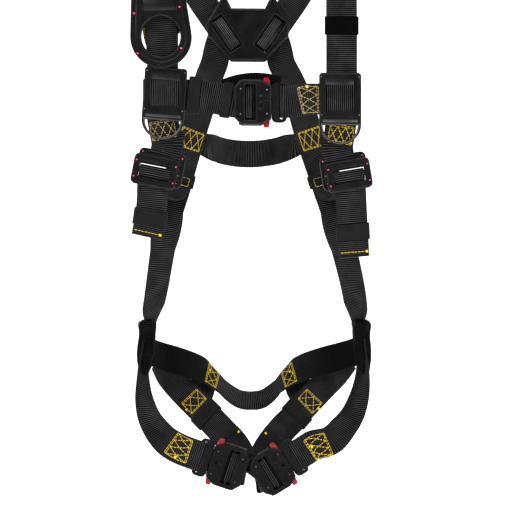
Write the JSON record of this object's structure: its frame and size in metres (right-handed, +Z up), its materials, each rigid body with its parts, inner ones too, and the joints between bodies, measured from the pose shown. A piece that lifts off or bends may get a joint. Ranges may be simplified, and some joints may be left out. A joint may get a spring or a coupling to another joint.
{
  "type": "full-body safety harness",
  "caption": "Full-body fall-arrest harness of black ribbed webbing with a moulded back plate, attachment rings, torso adjusters and quick-connect buckles.",
  "frame": {"origin": "midway between the crests of the two shoulder straps", "axes": "+Z up, the wearer faces -Y, +X is the wearer's left"},
  "size_m": [0.358, 0.295, 0.8992],
  "materials": {
    "webbing": "ribbed black polyester webbing, satin in the light",
    "elastic": "smooth black woven elastic, dull",
    "pad": "moulded black plastic, finely grained",
    "coated": "black powder coat, finely speckled, brighter on the edges",
    "steel": "plain steel, dull",
    "red": "red moulded plastic"
  },
  "bodies": {
    "root": {"dorsal_pad": "pad", "shoulder_strap_left": "webbing", "shoulder_strap_right": "webbing", "back_strap_left": "webbing", "back_strap_right": "webbing", "lower_back_strap": "webbing", "shoulder_ring_loop": "webbing", "dorsal_ring_loop": "webbing", "chest_frame_left": "coated", "chest_frame_right": "coated", "adjuster_base_left": "coated", "adjuster_base_right": "coated", "adjuster_webbing_left": "webbing", "adjuster_webbing_right": "webbing", "label_sleeve_left": "elastic", "label_sleeve_right": "elastic", "chest_strap_left": "webbing", "chest_strap_right": "webbing", "chest_buckle_base": "coated", "chest_buckle_cover": "coated", "chest_buckle_latch_spring": "steel", "hip_loop_left": "webbing", "hip_loop_right": "webbing"},
    "shoulder_ring": {"shoulder_ring": "coated"},
    "dorsal_ring": {"dorsal_ring": "coated"},
    "chest_tongue": {"chest_buckle_tongue": "coated"},
    "chest_latch_upper": {"chest_buckle_latch_upper": "red"},
    "chest_latch_lower": {"chest_buckle_latch_lower": "red"},
    "chest_friction_bar": {"chest_buckle_friction_bar": "steel"},
    "chest_keeper": {"chest_keeper": "elastic"},
    "chest_keeper_buckle": {"chest_keeper_buckle": "elastic"},
    "legs": {"seat_strap": "webbing", "leg_inner_strap_left": "webbing", "leg_outer_strap_left": "webbing", "leg_link_left": "webbing", "leg_inner_strap_right": "webbing", "leg_outer_strap_right": "webbing", "leg_link_right": "webbing", "leg_buckle_left_base": "coated", "leg_buckle_left_cover": "coated", "leg_buckle_left_latch_spring": "steel", "leg_buckle_right_base": "coated", "leg_buckle_right_cover": "coated", "leg_buckle_right_latch_spring": "steel"},
    "leg_tongue_left": {"leg_buckle_left_tongue": "coated"},
    "leg_left_latch_upper": {"leg_buckle_left_latch_upper": "red"},
    "leg_left_latch_lower": {"leg_buckle_left_latch_lower": "red"},
    "leg_friction_bar_left": {"leg_buckle_left_friction_bar": "steel"},
    "leg_keeper_left": {"leg_keeper_left": "elastic"},
    "adjuster_slider_left": {"adjuster_slider_left": "coated"},
    "tail_keeper_left": {"tail_keeper_left": "elastic"},
    "shoulder_keeper_left": {"shoulder_keeper_left": "elastic"},
    "leg_tongue_right": {"leg_buckle_right_tongue": "coated"},
    "leg_right_latch_upper": {"leg_buckle_right_latch_upper": "red"},
    "leg_right_latch_lower": {"leg_buckle_right_latch_lower": "red"},
    "leg_friction_bar_right": {"leg_buckle_right_friction_bar": "steel"},
    "leg_keeper_right": {"leg_keeper_right": "elastic"},
    "adjuster_slider_right": {"adjuster_slider_right": "coated"},
    "tail_keeper_right": {"tail_keeper_right": "elastic"},
    "shoulder_keeper_right": {"shoulder_keeper_right": "elastic"}
  },
  "joints": [
    {"name": "leg_swing", "type": "hinge", "parent": "root", "child": "legs", "pos_m": [0, -0.004, -0.66], "axis": [1, 0, 0], "range_deg": [-40, 25], "deforming": ["hip_loop_left", "hip_loop_right"]},
    {"name": "shoulder_ring_pivot", "type": "hinge", "parent": "root", "child": "shoulder_ring", "pos_m": [-0.1435, -0.146, -0.164], "axis": [0.9976, 0, 0.0698], "range_deg": [-150, 0]},
    {"name": "dorsal_ring_pivot", "type": "hinge", "parent": "root", "child": "dorsal_ring", "pos_m": [-0.006, 0.135, -0.141], "axis": [1, 0, 0], "range_deg": [0, 150]},
    {"name": "chest_tongue_slide", "type": "slide", "parent": "root", "child": "chest_tongue", "axis": [1, 0, 0], "range_m": [0, 0.012], "deforming": ["chest_strap_left"]},
    {"name": "chest_latch_upper_press", "type": "slide", "parent": "root", "child": "chest_latch_upper", "axis": [0, 0, -1], "range_m": [0, 0.003], "stiffness_N_per_m": 300, "deforming": ["chest_buckle_latch_spring"]},
    {"name": "chest_latch_lower_press", "type": "slide", "parent": "root", "child": "chest_latch_lower", "axis": [0, 0, 1], "range_m": [0, 0.003], "stiffness_N_per_m": 300, "deforming": ["chest_buckle_latch_spring"]},
    {"name": "chest_bar_slide", "type": "slide", "parent": "root", "child": "chest_friction_bar", "axis": [-1, 0, 0], "range_m": [0, 0.002]},
    {"name": "chest_keeper_slide", "type": "slide", "parent": "root", "child": "chest_keeper", "axis": [0.9895, -0.0663, -0.1286], "range_m": [0, 0.004]},
    {"name": "chest_keeper_buckle_slide", "type": "slide", "parent": "root", "child": "chest_keeper_buckle", "axis": [-0.975, 0.1365, 0.1755], "range_m": [0, 0.005]},
    {"name": "leg_tongue_left_slide", "type": "slide", "parent": "legs", "child": "leg_tongue_left", "axis": [0.8572, 0, 0.515], "range_m": [0, 0.012], "deforming": ["leg_outer_strap_left"]},
    {"name": "leg_left_latch_upper_press", "type": "slide", "parent": "legs", "child": "leg_left_latch_upper", "axis": [0.515, 0, -0.8572], "range_m": [0, 0.003], "stiffness_N_per_m": 300, "deforming": ["leg_buckle_left_latch_spring"]},
    {"name": "leg_left_latch_lower_press", "type": "slide", "parent": "legs", "child": "leg_left_latch_lower", "axis": [-0.515, 0, 0.8572], "range_m": [0, 0.003], "stiffness_N_per_m": 300, "deforming": ["leg_buckle_left_latch_spring"]},
    {"name": "leg_bar_left_slide", "type": "slide", "parent": "legs", "child": "leg_friction_bar_left", "axis": [-0.8572, 0, -0.515], "range_m": [0, 0.002]},
    {"name": "leg_keeper_left_slide", "type": "slide", "parent": "legs", "child": "leg_keeper_left", "axis": [-0.5777, -0.6419, -0.5043], "range_m": [-0.005, 0.005]},
    {"name": "adjuster_slider_left_slide", "type": "slide", "parent": "root", "child": "adjuster_slider_left", "axis": [0.165, 0, -0.9863], "range_m": [0, 0.006], "deforming": ["adjuster_webbing_left"]},
    {"name": "tail_keeper_left_slide", "type": "slide", "parent": "root", "child": "tail_keeper_left", "axis": [0.0771, 0.1913, -0.9785], "range_m": [-0.004, 0.004]},
    {"name": "shoulder_keeper_left_slide", "type": "slide", "parent": "root", "child": "shoulder_keeper_left", "axis": [0, 0, 1], "range_m": [-0.01, 0.01]},
    {"name": "leg_tongue_right_slide", "type": "slide", "parent": "legs", "child": "leg_tongue_right", "axis": [-0.9455, 0, 0.3256], "range_m": [0, 0.012], "deforming": ["leg_outer_strap_right"]},
    {"name": "leg_right_latch_upper_press", "type": "slide", "parent": "legs", "child": "leg_right_latch_upper", "axis": [0.3256, 0, 0.9455], "range_m": [0, 0.003], "stiffness_N_per_m": 300, "deforming": ["leg_buckle_right_latch_spring"]},
    {"name": "leg_right_latch_lower_press", "type": "slide", "parent": "legs", "child": "leg_right_latch_lower", "axis": [-0.3256, 0, -0.9455], "range_m": [0, 0.003], "stiffness_N_per_m": 300, "deforming": ["leg_buckle_right_latch_spring"]},
    {"name": "leg_bar_right_slide", "type": "slide", "parent": "legs", "child": "leg_friction_bar_right", "axis": [0.9455, 0, -0.3256], "range_m": [0, 0.002]},
    {"name": "leg_keeper_right_slide", "type": "slide", "parent": "legs", "child": "leg_keeper_right", "axis": [0.5777, -0.6419, -0.5043], "range_m": [-0.005, 0.005]},
    {"name": "adjuster_slider_right_slide", "type": "slide", "parent": "root", "child": "adjuster_slider_right", "axis": [-0.1908, 0, -0.9816], "range_m": [0, 0.006], "deforming": ["adjuster_webbing_right"]},
    {"name": "tail_keeper_right_slide", "type": "slide", "parent": "root", "child": "tail_keeper_right", "axis": [-0.1622, 0.2555, -0.9531], "range_m": [-0.004, 0.004]},
    {"name": "shoulder_keeper_right_slide", "type": "slide", "parent": "root", "child": "shoulder_keeper_right", "axis": [0, 0, 1], "range_m": [-0.01, 0.01]}
  ]
}
